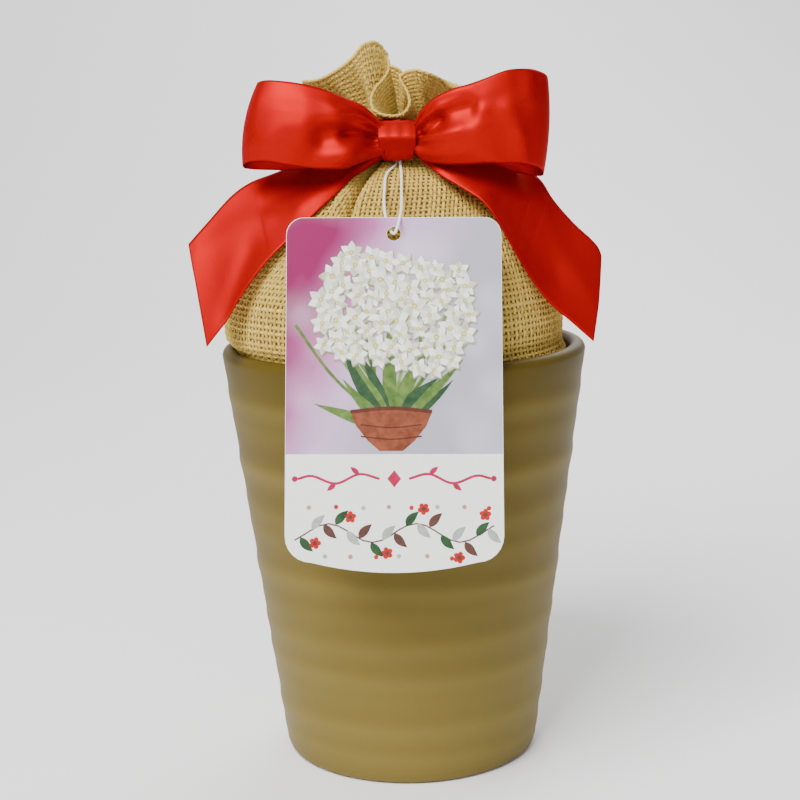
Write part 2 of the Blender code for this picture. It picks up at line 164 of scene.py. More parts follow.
class Finish:
    """One material: a Principled shader, and the nodes that vary it over the surface."""

    def __init__(self, name, **constants):
        self.material = bpy.data.materials.new(name)
        self.material.use_nodes = True
        self.tree = self.material.node_tree
        self.shader = self.tree.nodes["Principled BSDF"]
        for key, value in constants.items():
            self.set(key.replace("_", " ").title().replace("Ior", "IOR"), value)

    def set(self, entry, value):
        plug(self.tree, self.shader.inputs[entry], value)

    def add(self, kind, output, settings=None, **entries):
        """Add one node with its settings first, then its entries, and give back one of its outputs."""
        node = self.tree.nodes.new(kind)
        for key, value in (settings or {}).items():
            setattr(node, key, value)
        for key, value in entries.items():
            plug(self.tree, node.inputs[key.replace("_", " ")], value)
        return Wire(self.tree, node.outputs[output])

    def place(self, stretch=(1, 1, 1)):
        """Object coordinates, stretched."""
        where = self.add("ShaderNodeTexCoord", "Object")
        return self.add("ShaderNodeMapping", "Vector", Vector=where, Scale=stretch)

    def noise(self, where, scale, detail=3.0, roughness=0.5):
        return self.add("ShaderNodeTexNoise", "Fac", Vector=where, Scale=scale, Detail=detail,
                        Roughness=roughness)

    def blend(self, share, low, high):
        """Mix two colours."""
        node = self.tree.nodes.new("ShaderNodeMix")
        node.data_type = "RGBA"
        plug(self.tree, node.inputs["Factor"], share)
        plug(self.tree, node.inputs[6], low)
        plug(self.tree, node.inputs[7], high)
        return Wire(self.tree, node.outputs[2])

    def ramp(self, value, low, high):
        """Spread the stretch from low to high over 0 to 1."""
        return self.add("ShaderNodeMapRange", "Result", Value=value, From_Min=low, From_Max=high)

    def bump(self, height, depth, strength=1.0):
        normal = self.add("ShaderNodeBump", "Normal", Height=height, Distance=depth, Strength=strength)
        self.set("Normal", normal)


def glaze_finish():
    """Satin olive-gold glaze, thinner and paler on the ribs, with fine specks; painted shade darkens it
    towards the top and a painted floor bounce lightens its foot.
    """
    finish = Finish("glaze_finish", specular_ior_level=0.2, ior=1.45)
    finish.set("Specular Tint", (1.0, 0.8, 0.4))
    where = finish.place()
    height = finish.add("ShaderNodeSeparateXYZ", "Z", Vector=where)
    cloud = finish.noise(where, 26, 4)
    specks = finish.noise(where, 900, 2)
    crest = finish.add("ShaderNodeAttribute", "Fac", {"attribute_name": "crest"})
    # Painted shade and bounce light: darker colour towards the top, lighter towards the foot.
    painted_top_shade = finish.ramp(height + 0.02 * cloud, 0.03, 0.17)
    body = finish.blend(painted_top_shade, (0.160, 0.118, 0.031), (0.064, 0.042, 0.004))
    body = finish.blend(cloud * 0.3, body, (0.155, 0.110, 0.022))
    body = finish.blend(crest * 0.36, body, (0.22, 0.165, 0.045))
    body = finish.blend(finish.ramp(specks, 0.66, 0.8) * 0.35, body, (0.09, 0.055, 0.01))
    finish.set("Base Color", body)
    finish.set("Roughness", 0.46 + 0.14 * cloud)
    finish.bump(finish.noise(where, 220, 4) * 0.5 + cloud, 0.00025, 0.35)
    return finish.material


def jute_finish():
    """Jute thread: straw brown, every thread a little different, with fibres along it."""
    finish = Finish("jute_finish", sheen_weight=0.06, sheen_roughness=0.5, ior=1.3)
    finish.set("Sheen Tint", (1.0, 0.75, 0.4))
    where = finish.place()
    tone = finish.add("ShaderNodeAttribute", "Fac", {"attribute_name": "tone"})
    fibres = finish.noise(where, 1500, 3, 0.7)
    patches = finish.noise(where, 45, 3)
    body = finish.blend(tone, (0.36, 0.228, 0.036), (0.68, 0.485, 0.115))
    body = finish.blend(patches * 0.5, body, (0.52, 0.35, 0.062))
    body = finish.blend(finish.ramp(fibres, 0.45, 0.75) * 0.35, body, (0.72, 0.54, 0.18))
    finish.set("Base Color", body)
    finish.set("Roughness", 0.8 + 0.2 * fibres)
    finish.bump(fibres, 0.0002, 0.5)
    return finish.material


def painted_shade_sackcloth_finish():
    """Dark sheet under the threads: its brown is painted shade for the sack's shaded inside, and the peat's
    own dark where that lies behind, seen between the threads.
    """
    finish = Finish("painted_shade_sackcloth_finish", roughness=0.95)
    where = finish.place()
    fibres = finish.noise(where, 900, 3)
    # Painted shade: dark brown for the shaded inside of the sack, seen through the weave.
    finish.set("Base Color", finish.blend(fibres, (0.12, 0.06, 0.012), (0.22, 0.125, 0.03)))
    finish.bump(fibres, 0.0003, 0.5)
    return finish.material


def satin_finish():
    """Red satin: broad red gloss, hair-thin lines across, and a firmer woven edge."""
    finish = Finish("satin_finish", metallic=0.55, ior=1.3)
    finish.set("Specular Tint", (1.0, 0.12, 0.1))
    where = finish.add("ShaderNodeUVMap", "UV", {"uv_map": "cloth"})
    lines = finish.add("ShaderNodeTexNoise", "Fac", Scale=1.0, Detail=2.0,
                       Vector=finish.add("ShaderNodeMapping", "Vector", Vector=where, Scale=(60, 5200, 1)))
    soft = finish.noise(finish.place(), 60, 2)
    edge = finish.add("ShaderNodeAttribute", "Fac", {"attribute_name": "selvage"})
    body = finish.blend(soft * 0.5, (0.36, 0.0026, 0.0034), (0.42, 0.005, 0.0058))
    body = finish.blend(lines * 0.25, body, (0.33, 0.002, 0.003))
    body = finish.blend(edge * 0.35, body, (0.27, 0.003, 0.003))
    finish.set("Base Color", body)
    finish.set("Roughness", 0.44 + 0.1 * lines)
    finish.bump(lines, 0.00005, 0.5)
    return finish.material


def card_finish():
    """White coated card."""
    finish = Finish("card_finish", ior=1.45)
    where = finish.place()
    fibres = finish.noise(where, 700, 3)
    finish.set("Base Color", finish.blend(fibres, (0.82, 0.81, 0.79), (0.88, 0.875, 0.86)))
    finish.set("Roughness", 0.38 + 0.1 * fibres)
    return finish.material


def ink_finish(name, color, shade):
    """One printed colour, slightly uneven."""
    finish = Finish(name, roughness=0.45, ior=1.3)
    spread = finish.noise(finish.place(), 380, 3)
    finish.set("Base Color", finish.blend(finish.ramp(spread, 0.3, 0.7), color, shade))
    return finish.material


def backdrop_ink_finish():
    """The print's blurred ground: plum melting into lilac and pearl grey."""
    finish = Finish("backdrop_ink", roughness=0.45, ior=1.3)
    where = finish.add("ShaderNodeUVMap", "UV", {"uv_map": "print"})
    across = finish.add("ShaderNodeSeparateXYZ", "X", Vector=where)
    down = finish.add("ShaderNodeSeparateXYZ", "Y", Vector=where)
    soft = finish.noise(where, 3.0, 1)
    slant = across + 0.45 * down + 0.25 * soft
    body = finish.blend(finish.ramp(slant, 0.36, 0.58), (0.21, 0.0, 0.07), (0.42, 0.12, 0.31))
    body = finish.blend(finish.ramp(slant, 0.56, 0.76), body, (0.50, 0.36, 0.54))
    body = finish.blend(finish.ramp(slant, 0.76, 1.05), body, (0.36, 0.35, 0.41))
    blots = finish.add("ShaderNodeTexVoronoi", "Distance", {"feature": "SMOOTH_F1"}, Vector=where, Scale=5.0)
    body = finish.blend(finish.ramp(blots, 0.5, 0.15) * 0.22, body, (0.80, 0.72, 0.82))
    finish.set("Base Color", body)
    return finish.material


def string_finish():
    """White cotton string."""
    finish = Finish("string_finish", roughness=0.7, sheen_weight=0.2)
    where = finish.place()
    fibres = finish.noise(where, 2500, 3)
    finish.set("Base Color", finish.blend(fibres, (0.80, 0.78, 0.75), (0.90, 0.89, 0.87)))
    finish.bump(fibres, 0.0001, 0.5)
    return finish.material


def peat_finish():
    """Loose dark peat with paler fibres."""
    finish = Finish("peat_finish", roughness=1.0)
    where = finish.place()
    crumbs = finish.noise(where, 260, 5, 0.7)
    share = finish.ramp(crumbs, 0.4, 0.7)
    finish.set("Base Color", finish.blend(share, (0.022, 0.013, 0.008), (0.12, 0.07, 0.035)))
    finish.bump(crumbs, 0.002, 0.9)
    return finish.material


def bulb_finish():
    """Dry brown bulb skin with streaks from base to tip."""
    finish = Finish("bulb_finish", roughness=0.55)
    streaks = finish.noise(finish.place((600, 600, 40)), 1.0, 4)
    finish.set("Base Color", finish.blend(streaks, (0.16, 0.065, 0.022), (0.42, 0.22, 0.09)))
    finish.bump(streaks, 0.0004, 0.6)
    return finish.material


def add_piece(name, mesh, material, replaced=()):
    """Put a finished mesh on the one body, and hide the CAD nodes that it stands for."""
    piece = bpy.data.objects.new(name, mesh)
    bpy.context.scene.collection.objects.link(piece)
    if material:
        mesh.materials.append(material)
    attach(piece, "root")
    if replaced:
        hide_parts(*replaced)
    return piece


def thicken(piece, thickness, offset=0):
    """Give a thin sheet its thickness."""
    thick = piece.modifiers.new("thickness", "SOLIDIFY")
    thick.thickness = thickness
    thick.offset = offset


def settled_mesh(carrier):
    """Plain mesh of what an object's modifiers or curve make, in place of the object."""
    graph = bpy.context.evaluated_depsgraph_get()
    mesh = bpy.data.meshes.new_from_object(carrier.evaluated_get(graph), depsgraph=graph)
    bpy.data.objects.remove(carrier)
    return mesh


def grid_mesh(name, grid, around=False, smooth=True, flip=False):
    """Make a mesh of quads over a grid of points, joined round its columns where asked."""
    rows, columns = grid.shape[:2]
    faces = []
    for row in range(rows - 1):
        for column in range(columns if around else columns - 1):
            near = row * columns + column
            far = row * columns + (column + 1) % columns
            face = (near, far, far + columns, near + columns)
            faces.append(face[::-1] if flip else face)
    mesh = bpy.data.meshes.new(name)
    mesh.from_pydata(grid.reshape(-1, 3).tolist(), [], faces)
    if smooth:
        mesh.shade_smooth()
    return mesh


def add_values(mesh, name, values):
    """Store one number per vertex."""
    layer = mesh.attributes.new(name, "FLOAT", "POINT")
    layer.data.foreach_set("value", np.asarray(values, dtype=np.float32).ravel())


def pot_radius(height):
    """Outer radius of the pot's taper."""
    return POT_BASE_RADIUS + (POT_RIM_RADIUS - POT_BASE_RADIUS) * height / POT_HEIGHT


def rib_share(height, angle):
    """How far a rib's crest is swept up at a height, wandering a little round the pot."""
    total = np.zeros_like(angle)
    for number, crest in enumerate(RIB_HEIGHTS):
        wander = 1.3 * np.sin(angle + 1.7 * number) + 0.7 * np.sin(2 * angle + 0.9 * number)
        offset = height / MM - crest - wander
        sharp = np.where(offset > 0, 3.2, 5.2)
        total = total + (0.8 + 0.35 * np.sin(2.3 * number)) * np.exp(-(offset / sharp) ** 2)
    return total


def make_pot(material):
    """Turn the pot finely, with hand-thrown ribs, a rounded lip and a plain inside."""
    lip = POT_WALL / 2
    profile = [(radius, 0.0) for radius in np.linspace(0.004, POT_BASE_RADIUS - POT_CORNER, 6)]
    for step in range(1, 7):
        angle = math.radians(15 * step)
        profile.append((POT_BASE_RADIUS - POT_CORNER + POT_CORNER * math.sin(angle),
                        POT_CORNER * (1 - math.cos(angle))))
    top = POT_HEIGHT - lip
    for height in np.linspace(POT_CORNER, top, 150)[1:-1]:
        profile.append((pot_radius(height), height))
    middle = pot_radius(top) - lip
    for step in range(17):
        angle = math.pi * step / 16
        profile.append((middle + lip * math.cos(angle), top + lip * math.sin(angle)))
    for height in np.linspace(top, POT_FLOOR + POT_CORNER, 12)[1:]:
        profile.append((pot_radius(height) - POT_WALL, height))
    inner = profile[-1][0]
    profile += [(inner - POT_CORNER * 0.3, POT_FLOOR + POT_CORNER * 0.3), (inner - POT_CORNER, POT_FLOOR)]
    profile += [(radius, POT_FLOOR) for radius in np.linspace(inner - POT_CORNER, 0.004, 5)[1:]]
    profile = np.array(profile)
    angles = np.linspace(0, TURN, POT_SIDES, endpoint=False)
    outer = (profile[:, 0] > pot_radius(profile[:, 1]) - 0.5 * MM) & (profile[:, 1] > POT_CORNER)
    fade = np.where(outer, smooth_step(3 * MM, 9 * MM, profile[:, 1]), 0)
    fade = fade * (1 - smooth_step(148 * MM, 156 * MM, profile[:, 1]))
    grid = np.zeros((len(profile), POT_SIDES, 3))
    crest = np.zeros((len(profile), POT_SIDES))
    for row, (radius, height) in enumerate(profile):
        ribs = rib_share(height, angles) * fade[row]
        spread = radius + RIB_DEPTH * (ribs - 0.45 * fade[row])
        grid[row] = np.stack([spread * np.cos(angles), spread * np.sin(angles),
                              np.full(POT_SIDES, height)], axis=1)
        crest[row] = ribs
    mesh = grid_mesh("pot_body", grid, around=True)
    close_ring(mesh, range(POT_SIDES))
    close_ring(mesh, range(mesh_count(grid) - POT_SIDES, mesh_count(grid)))
    mesh = outward(mesh)
    add_values(mesh, "crest", crest)
    mesh.shade_smooth()
    add_piece("pot_body", mesh, material, ["pot"])


def mesh_count(grid):
    """Number of points of a grid."""
    return grid.shape[0] * grid.shape[1]


def close_ring(mesh, ring):
    """Fill a ring of vertices with one face."""
    shell = bmesh.new()
    shell.from_mesh(mesh)
    shell.verts.ensure_lookup_table()
    shell.faces.new([shell.verts[number] for number in ring])
    shell.to_mesh(mesh)
    shell.free()


def outward(mesh):
    """Turn every face outwards."""
    shell = bmesh.new()
    shell.from_mesh(mesh)
    bmesh.ops.recalc_face_normals(shell, faces=shell.faces)
    shell.to_mesh(mesh)
    shell.free()
    return mesh


# Folds of the sack under its neck: degrees from the front (left is minus) at the neck and at the fold's
# foot, the height of the foot, and depth and half width at the neck, in millimetres
PLEATS = ((-25, -12, 180, 15, 1.25), (36, 44, 214, 3.5, 2.6), (58, 66, 200, 8, 2.8), (86, 90, 192, 9, 2.8),
          (113, 116, 204, 7, 2.6), (141, 140, 194, 9, 2.8), (170, 166, 202, 8, 2.8), (198, 194, 192, 9, 2.8),
          (226, 226, 204, 7, 2.6), (253, 258, 194, 9, 2.8), (279, 286, 206, 6, 2.6), (304, 302, 208, 4, 2.4))
PUFF = (-42, -27, 188, 2, 4.8)
RING_POINTS = 1440
RUFFLE_ROWS = 13
RUFFLE_WAVES = 17


def even_ring(ring, columns):
    """Columns at even steps along a closed ring of points, starting at its first point."""
    ring = np.vstack([ring, ring[:1]])
    lengths = np.concatenate([[0], np.cumsum(np.linalg.norm(np.diff(ring, axis=0), axis=1))])
    wanted = np.linspace(0, lengths[-1], columns, endpoint=False)
    return np.stack([np.interp(wanted, lengths, ring[:, axis]) for axis in range(3)], axis=1)


def sack_rows():
    """Radius and height of the sack's rows of crossings, from inside the rim up to the top of the neck."""
    profile = np.array(SHOULDER) * MM
    count = round(path_length(curve_points(profile, 200)) / THREAD_PITCH)
    return curve_points(profile, count)


def fold_offset(fold, turned, radius, height):
    """Distance across a fold in half widths, and how far it has grown at a height."""
    neck, foot, foot_height, depth, width = fold
    rise = float(smooth_step(foot_height * MM, 228 * MM, height))
    centre = math.radians(foot + (neck - foot) * rise)
    away = (turned - centre + math.pi) % TURN - math.pi
    return away * radius / (width * MM), math.sqrt(rise) * depth * MM, width


def sack_ring(radius, height):
    """One ring of the sack's body, with its folds drawn in towards the neck."""
    angles = -math.pi / 2 + np.arange(RING_POINTS) / RING_POINTS * TURN
    turned = angles + math.pi / 2
    spread = np.full_like(angles, radius)
    room = min(1.0, radius / (17 * MM))
    free = 1 - float(smooth_step(226 * MM, 232.5 * MM, height))
    for fold in PLEATS:
        across, depth, width = fold_offset(fold, turned, radius, height)
        spread -= depth * room * np.exp(-across ** 2)
        across = across * width / max(width, 1.8)
        spread += 0.2 * depth * free * (np.exp(-(across - 2.2) ** 2) + np.exp(-(across + 2.2) ** 2))
    across, depth, width = fold_offset(PUFF, turned, radius, height)
    spread += depth * free * np.exp(-across ** 2)
    above_rim = smooth_step(156 * MM, 166 * MM, height)
    lean = SACK_LEAN * float(above_rim * (1 - smooth_step(205 * MM, 232 * MM, height)))
    sway = float(smooth_step(165 * MM, 180 * MM, height))
    spread = spread + 0.5 * MM * np.sin(3 * angles + 40 * height) * sway
    return np.stack([lean + spread * np.cos(angles), spread * np.sin(angles),
                     np.full_like(angles, height)], axis=1)


def sack_grid():
    """Points of the draped cloth: rows from inside the rim up through the neck to the wavy open edge."""
    rings = [even_ring(sack_ring(radius, height), SACK_WARPS) for radius, height in sack_rows()]
    neck = rings[-1]
    hem = curve_points(np.array(HEM) * MM, SACK_WARPS, closed=True)
    way = neck * (1, 1, 0) / np.linalg.norm(neck[:, :2], axis=1, keepdims=True)
    turn = np.arange(SACK_WARPS) / SACK_WARPS * TURN
    wave = np.sin(RUFFLE_WAVES * turn + 1.2 * np.sin(2 * turn)) * 1.1 * MM
    for step in range(1, RUFFLE_ROWS + 1):
        share = step / RUFFLE_ROWS
        ring = neck * (1 - share ** 1.2) + hem * share ** 1.2
        ring[:, 2] = neck[:, 2] * (1 - share) + hem[:, 2] * share
        rings.append(ring + way * (wave * math.sin(math.pi * share ** 0.8))[:, None])
    return np.array(rings)


def grid_normals(grid):
    """Outward unit normals of a grid that goes round in its columns and up in its rows."""
    along = np.roll(grid, -1, axis=1) - np.roll(grid, 1, axis=1)
    up = np.gradient(grid, axis=0)
    normals = np.cross(along, up)
    return normals / np.maximum(np.linalg.norm(normals, axis=2, keepdims=True), 1e-9)


def thread_tree():
    """Node tree that turns lines of crossings into threads that dip over and under."""
    tree = bpy.data.node_groups.new("threads", "GeometryNodeTree")
    face = tree.interface
    face.new_socket("Lines", in_out="INPUT", socket_type="NodeSocketGeometry")
    for label in ("Half Width", "Half Height", "Dip"):
        face.new_socket(label, in_out="INPUT", socket_type="NodeSocketFloat")
    face.new_socket("Material", in_out="INPUT", socket_type="NodeSocketMaterial")
    face.new_socket("Threads", in_out="OUTPUT", socket_type="NodeSocketGeometry")

    def node(kind, settings=None, **entries):
        made = tree.nodes.new(kind)
        for key, value in (settings or {}).items():
            setattr(made, key, value)
        for key, value in entries.items():
            entry = made.inputs[key.replace("_", " ")]
            if isinstance(value, bpy.types.NodeSocket):
                tree.links.new(value, entry)
            else:
                entry.default_value = value
        return made

    entry = node("NodeGroupInput").outputs
    upright = node("GeometryNodeInputNamedAttribute", {"data_type": "FLOAT_VECTOR"}, Name="upright")
    over = node("GeometryNodeInputNamedAttribute", {"data_type": "FLOAT"}, Name="over")
    girth = node("GeometryNodeInputNamedAttribute", {"data_type": "FLOAT"}, Name="girth")
    lift = node("ShaderNodeMath", {"operation": "MULTIPLY"})
    tree.links.new(over.outputs["Attribute"], lift.inputs[0])
    tree.links.new(entry["Dip"], lift.inputs[1])
    offset = node("ShaderNodeVectorMath", {"operation": "SCALE"}, Scale=lift.outputs[0])
    tree.links.new(upright.outputs["Attribute"], offset.inputs[0])
    moved = node("GeometryNodeSetPosition", Geometry=entry["Lines"], Offset=offset.outputs[0])
    curves = node("GeometryNodeMeshToCurve", Mesh=moved.outputs["Geometry"])
    rounded = node("GeometryNodeCurveSplineType", {"spline_type": "CATMULL_ROM"},
                   Curve=curves.outputs["Curve"])
    fine = node("GeometryNodeSetSplineResolution", Geometry=rounded.outputs["Curve"], Resolution=2)
    facing = node("GeometryNodeSetCurveNormal", {"mode": "FREE"}, Curve=fine.outputs["Geometry"])
    tree.links.new(upright.outputs["Attribute"], facing.inputs["Normal"])
    sized = node("GeometryNodeSetCurveRadius", Curve=facing.outputs["Curve"],
                 Radius=girth.outputs["Attribute"])
    ring = node("GeometryNodeCurvePrimitiveCircle", {"mode": "RADIUS"}, Resolution=4, Radius=1.0)
    widths = node("ShaderNodeCombineXYZ", X=entry["Half Height"], Y=entry["Half Width"], Z=1.0)
    oval = node("GeometryNodeTransform", Geometry=ring.outputs["Curve"], Scale=widths.outputs[0])
    tubes = node("GeometryNodeCurveToMesh", Curve=sized.outputs["Curve"],
                 Profile_Curve=oval.outputs["Geometry"])
    tubes.inputs["Fill Caps"].default_value = True
    soft = node("GeometryNodeSetShadeSmooth", Geometry=tubes.outputs["Mesh"], Shade_Smooth=True)
    real = node("GeometryNodeRealizeInstances", Geometry=soft.outputs["Geometry"])
    dressed = node("GeometryNodeSetMaterial", Geometry=real.outputs["Geometry"], Material=entry["Material"])
    leave = node("NodeGroupOutput")
    tree.links.new(dressed.outputs["Geometry"], leave.inputs[0])
    return tree


def weave_lines(name, points, normals, over, girth, tone, closed):
    """Mesh of lines only, one for each thread, which carries what the thread tree reads."""
    threads, steps = points.shape[:2]
    edges = []
    for thread in range(threads):
        first = thread * steps
        edges += [(first + step, first + step + 1) for step in range(steps - 1)]
        if closed:
            edges.append((first + steps - 1, first))
    mesh = bpy.data.meshes.new(name)
    mesh.from_pydata(points.reshape(-1, 3).tolist(), edges, [])
    upright = mesh.attributes.new("upright", "FLOAT_VECTOR", "POINT")
    upright.data.foreach_set("vector", normals.astype(np.float32).ravel())
    add_values(mesh, "over", over)
    add_values(mesh, "girth", girth)
    add_values(mesh, "tone", tone)
    return mesh


def spin_threads(name, lines, tree, sizes, material):
    """Run the thread tree on lines and keep its result as a plain mesh."""
    carrier = bpy.data.objects.new(name, lines)
    bpy.context.scene.collection.objects.link(carrier)
    modifier = carrier.modifiers.new("threads", "NODES")
    modifier.node_group = tree
    values = {**sizes, "Material": material}
    for item in tree.interface.items_tree:
        if item.in_out == "INPUT" and item.name in values:
            modifier[item.identifier] = values[item.name]
    return settled_mesh(carrier)


def jitter(chance, grid, direction, by_line, by_point):
    """Shift whole lines of the grid, and each crossing, a little along a direction."""
    direction = direction / np.maximum(np.linalg.norm(direction, axis=2, keepdims=True), 1e-9)
    shape = (grid.shape[0], 1) if by_line == "row" else (1, grid.shape[1])
    shift = chance.normal(0, 0.15 * MM, shape) + chance.normal(0, by_point, grid.shape[:2])
    return grid + direction * shift[:, :, None]


def sack_under_sheet(grid, normals):
    """Grid of the dark sheet: the hidden lower sack from the pot's floor, then the draped cloth."""
    angles = -math.pi / 2 + np.arange(SACK_WARPS) / SACK_WARPS * TURN
    lower = []
    for radius, height in ((36, 7.6), (41, 9.6), (43.6, 14), (49.5, 60), (56, 110), (61, 140)):
        ring = [radius * MM * np.cos(angles), radius * MM * np.sin(angles), np.full_like(angles, height * MM)]
        lower.append(np.stack(ring, axis=1))
    inset = np.full(len(grid), 0.42 * MM)
    inset[-RUFFLE_ROWS:] = np.linspace(0.35, 0, RUFFLE_ROWS) ** 2 * MM
    return np.concatenate([np.array(lower), grid - normals * inset[:, None, None]])


def make_sack(painted_shade_sheet_material, thread_material):
    """Weave the visible sack of real threads over a dark sheet."""
    chance = np.random.default_rng(SEED)
    grid = sack_grid()
    normals = grid_normals(grid)
    rows = len(grid)
    # The sheet's dark brown is painted shade of the sack's inside, seen between the threads.
    sheet = add_piece("sack_cloth", grid_mesh("sack_cloth", sack_under_sheet(grid, normals), around=True),
                      painted_shade_sheet_material, ["burlap_bag"])
    close_ring(sheet.data, range(SACK_WARPS))
    thicken(sheet, 0.16 * MM)

    wide = np.linalg.norm(np.roll(grid, -1, axis=1) - grid, axis=2) / THREAD_PITCH
    tall = np.linalg.norm(np.gradient(grid, axis=0), axis=2) / THREAD_PITCH
    grid = jitter(chance, grid, np.roll(grid, -1, axis=1) - grid, "column", 0.05 * MM)
    grid = jitter(chance, grid, np.gradient(grid, axis=0), "row", 0.05 * MM)
    over = np.indices((rows, SACK_WARPS)).sum(axis=0) % 2 * 2.0 - 1

    def vary(shape):
        return chance.normal(1, 0.12, shape) * chance.normal(1, 0.05, grid.shape[:2])

    def shade(shape):
        return np.clip(chance.normal(0.5, 0.2, shape) + chance.normal(0, 0.08, grid.shape[:2]), 0, 1)

    warp = (grid, normals, over, np.clip(wide, 0.5, 1.1) * vary((1, SACK_WARPS)), shade((1, SACK_WARPS)))
    weft = [grid, normals, -over, np.clip(tall, 0.45, 1.1) * vary((rows, 1)), shade((rows, 1))]
    weft[3][-2:] = np.clip(weft[3][-2:] * 1.3, 0.95, 1.4)
    weft[4][-2:] = 0.95
    tree = thread_tree()
    sizes = {"Half Width": 0.72 * MM, "Half Height": 0.36 * MM, "Dip": 0.26 * MM}
    half = SACK_WARPS // 2
    for label, part in (("right", slice(0, half)), ("left", slice(half, SACK_WARPS))):
        tables = [np.swapaxes(table[:, part], 0, 1) for table in warp]
        lines = weave_lines("warp_" + label, *tables, closed=False)
        mesh = spin_threads("warp_" + label, lines, tree, sizes, thread_material)
        add_piece("warp_threads_" + label, mesh, None)
    half = rows // 2
    for label, part in (("lower", slice(0, half)), ("upper", slice(half, rows))):
        lines = weave_lines("weft_" + label, *[table[part] for table in weft], closed=True)
        mesh = spin_threads("weft_" + label, lines, tree, sizes, thread_material)
        add_piece("weft_threads_" + label, mesh, None)


# Ribbon: 38 mm satin. Edges of its free stretches, from the knot outwards, in millimetres
RIBBON_WIDTH = 38 * MM
RIBBON_THICKNESS = 0.35 * MM
NECK_RIBBON_WIDTH = 16 * MM
LOOP_LEFT = {
    "upper": ((-5.5, -28.2, 243.4), (-8.7, -29, 246.8), (-13.8, -32, 251.1), (-20.8, -34.5, 254.2),
              (-25.9, -35.5, 256.5), (-34, -36, 258.8), (-42.2, -35, 260.1), (-46.8, -33, 260.4),
              (-49.4, -30.5, 260), (-50.6, -27.5, 259.3), (-49.5, -24, 258), (-43, -21.5, 256),
              (-34, -21, 253), (-20, -24, 247.5), (-8, -24.6, 243.8), (-5.5, -24.6, 243)),
    "lower": ((-5.5, -28.2, 233.5), (-10.2, -30, 231.6), (-15.8, -34, 230), (-19.5, -36.5, 228.8),
              (-25.1, -38, 228.8), (-32.5, -38.5, 229.4), (-40, -38, 230.6), (-47.6, -36.5, 231.9),
              (-53.1, -33, 231.9), (-56.3, -29.5, 231.1), (-56.9, -26.5, 229.9), (-55.5, -23.5, 228.9),
              (-48.9, -21.5, 228.3), (-33.5, -21, 228.2), (-20, -24, 232), (-8, -24.6, 234.8),
              (-5.5, -24.6, 235)),
}
LOOP_RIGHT = {
    "upper": ((5.5, -28.2, 243.4), (6.6, -28.8, 245.6), (9, -31, 249.4), (13, -33, 252.9),
              (18.9, -35, 255.8), (24.8, -36, 257.4), (30.7, -36.5, 259.4), (36.7, -36, 261.6),
              (40.7, -35, 262.4), (46.9, -32, 262.3), (51.3, -28.5, 261.2), (53.5, -25.5, 259.8),
              (53.4, -22, 257.6), (47, -19.5, 256), (34, -20.5, 252.5), (19, -24, 247.5),
              (8, -24.6, 243.8), (5.5, -24.6, 243)),
    "lower": ((5.5, -28.2, 233.5), (8.3, -30.5, 230.9), (14.5, -35, 229.7), (22.4, -37.5, 229.4),
              (30.3, -38.5, 229.7), (38.3, -38, 229.7), (44.4, -35.5, 229), (48.8, -32, 227.9),
              (51.3, -28.5, 226.4), (52, -25, 224.6), (50.4, -22, 224), (45.7, -20.5, 224.6),
              (36.6, -20, 226.8), (20, -23.5, 231), (8, -24.6, 234.8), (5.5, -24.6, 235)),
}
TAIL_LEFT = {
    "upper": ((-5, -22.8, 237.4), (-12, -20, 236.9), (-20, -17.2, 235.5), (-32, -15, 232.2),
              (-46.2, -15, 226.9), (-55.5, -17, 223.6), (-62.7, -19, 218.7), (-71.1, -21.5, 209.8),
              (-78.4, -23.5, 201.9)),
    "lower": ((-5, -22.8, 232.6), (-14.8, -27, 226.7), (-22.9, -33, 219.6), (-30.9, -38, 213.1),
              (-41.1, -42, 203.7), (-49.2, -43, 195.9), (-58.7, -43, 184.1), (-65.2, -43, 174.1),
              (-71, -43, 166.6)),
}
TAIL_RIGHT = {
    "upper": ((5, -22.8, 237.4), (12, -20, 236.9), (20, -17.2, 235.5), (32, -15, 232), (44, -15, 227.5),
              (51.3, -17, 222.8), (56.2, -19, 215.1), (63.2, -21, 206.8), (69.4, -22.5, 200.9),
              (72.3, -23.2, 197.5), (73.4, -24, 194.5)),
    "lower": ((5, -22.8, 232.6), (7.8, -25.5, 231), (10.4, -28, 228.6), (14.6, -33, 224.9),
              (21.4, -37, 220.9), (30.1, -41, 215), (34.9, -43, 208.1), (43.8, -43, 191.9),
              (51.7, -43, 180.6), (60.8, -42.5, 172.3), (68.4, -42, 165.4)),
}
